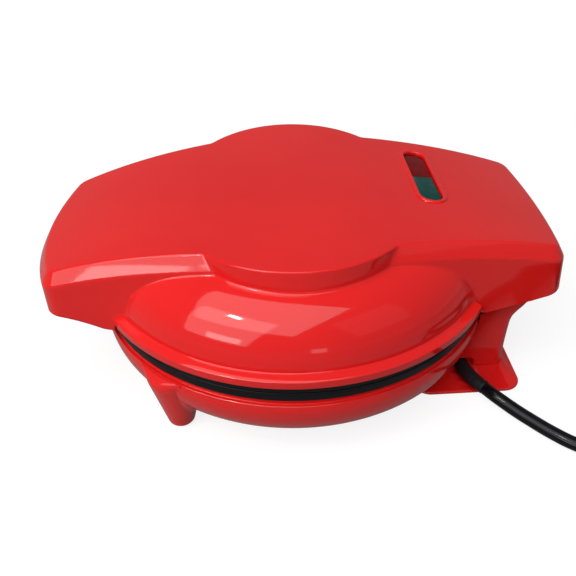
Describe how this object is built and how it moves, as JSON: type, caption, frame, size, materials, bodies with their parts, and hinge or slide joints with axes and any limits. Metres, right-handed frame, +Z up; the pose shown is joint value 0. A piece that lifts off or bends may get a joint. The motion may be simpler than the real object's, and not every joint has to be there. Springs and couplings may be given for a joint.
{
  "type": "mini donut maker",
  "caption": "Clamshell countertop cooker with a domed lid, an arched carrying band, two ring-mould plates, two indicator lenses and a rear hinge stand.",
  "frame": {"origin": "centre of the object's plan without its cord, on the surface it stands on", "axes": "+Z up, -Y towards the carrying handle, +Y towards the hinge, +X to the side where the cord leaves"},
  "size_m": [0.2245, 0.3671, 0.092],
  "materials": {
    "red_housing": "high gloss moulded red",
    "plate_coat": "black non-stick coat",
    "steel": "plain steel",
    "rubber": "black",
    "black_plastic": "fine grained black",
    "red_lens": "clear red lens",
    "green_lens": "clear dark green lens",
    "white_plastic": "heat-proof off-white",
    "lead_sleeve": "woven glass sleeve",
    "brass": "plain brass"
  },
  "bodies": {
    "base": {"base_bowl": "red_housing", "bottom_cover": "black_plastic", "cord_clamp": "white_plastic", "cord_coil": "rubber", "cord_lead": "rubber", "cord_plug": "rubber", "cord_tie": "black_plastic", "cover_screw_1": "steel", "cover_screw_2": "steel", "cover_screw_3": "steel", "element_lead_1": "lead_sleeve", "element_lead_2": "lead_sleeve", "foot_screw_1": "steel", "foot_screw_2": "steel", "front_foot_pad_1": "rubber", "front_foot_pad_2": "rubber", "fuse_lead": "lead_sleeve", "hinge_pin": "steel", "live_lead": "lead_sleeve", "lower_element": "steel", "lower_plate": "plate_coat", "lower_plate_screw_1": "steel", "lower_plate_screw_2": "steel", "lower_plate_screw_3": "steel", "lower_shield": "steel", "lower_shield_screw_1": "steel", "lower_shield_screw_2": "steel", "lower_shield_screw_3": "steel", "neutral_lead": "lead_sleeve", "plug_blade_1": "brass", "plug_blade_2": "brass", "rear_stand": "red_housing", "return_lead": "lead_sleeve", "stand_foot": "red_housing", "strain_relief": "rubber", "terminal_block": "white_plastic", "thermal_fuse": "white_plastic", "thermostat": "steel", "thermostat_lead": "lead_sleeve"},
    "lid": {"green_lamp": "brass", "green_lens": "green_lens", "lamp_holder": "white_plastic", "lid_cover": "red_housing", "lid_lead_1": "lead_sleeve", "lid_lead_2": "lead_sleeve", "lid_liner": "red_housing", "liner_screw_1": "steel", "liner_screw_2": "steel", "red_lamp": "brass", "red_lens": "red_lens", "upper_element": "steel", "upper_plate": "plate_coat", "upper_plate_screw_1": "steel", "upper_plate_screw_2": "steel", "upper_plate_screw_3": "steel", "upper_shield": "steel", "upper_shield_screw_1": "steel", "upper_shield_screw_2": "steel", "upper_shield_screw_3": "steel"}
  },
  "joints": [
    {"name": "lid_hinge", "type": "hinge", "parent": "base", "child": "lid", "pos_m": [0, 0.1121, 0.052], "axis": [-1, 0, 0], "range_deg": [0, 100]}
  ]
}
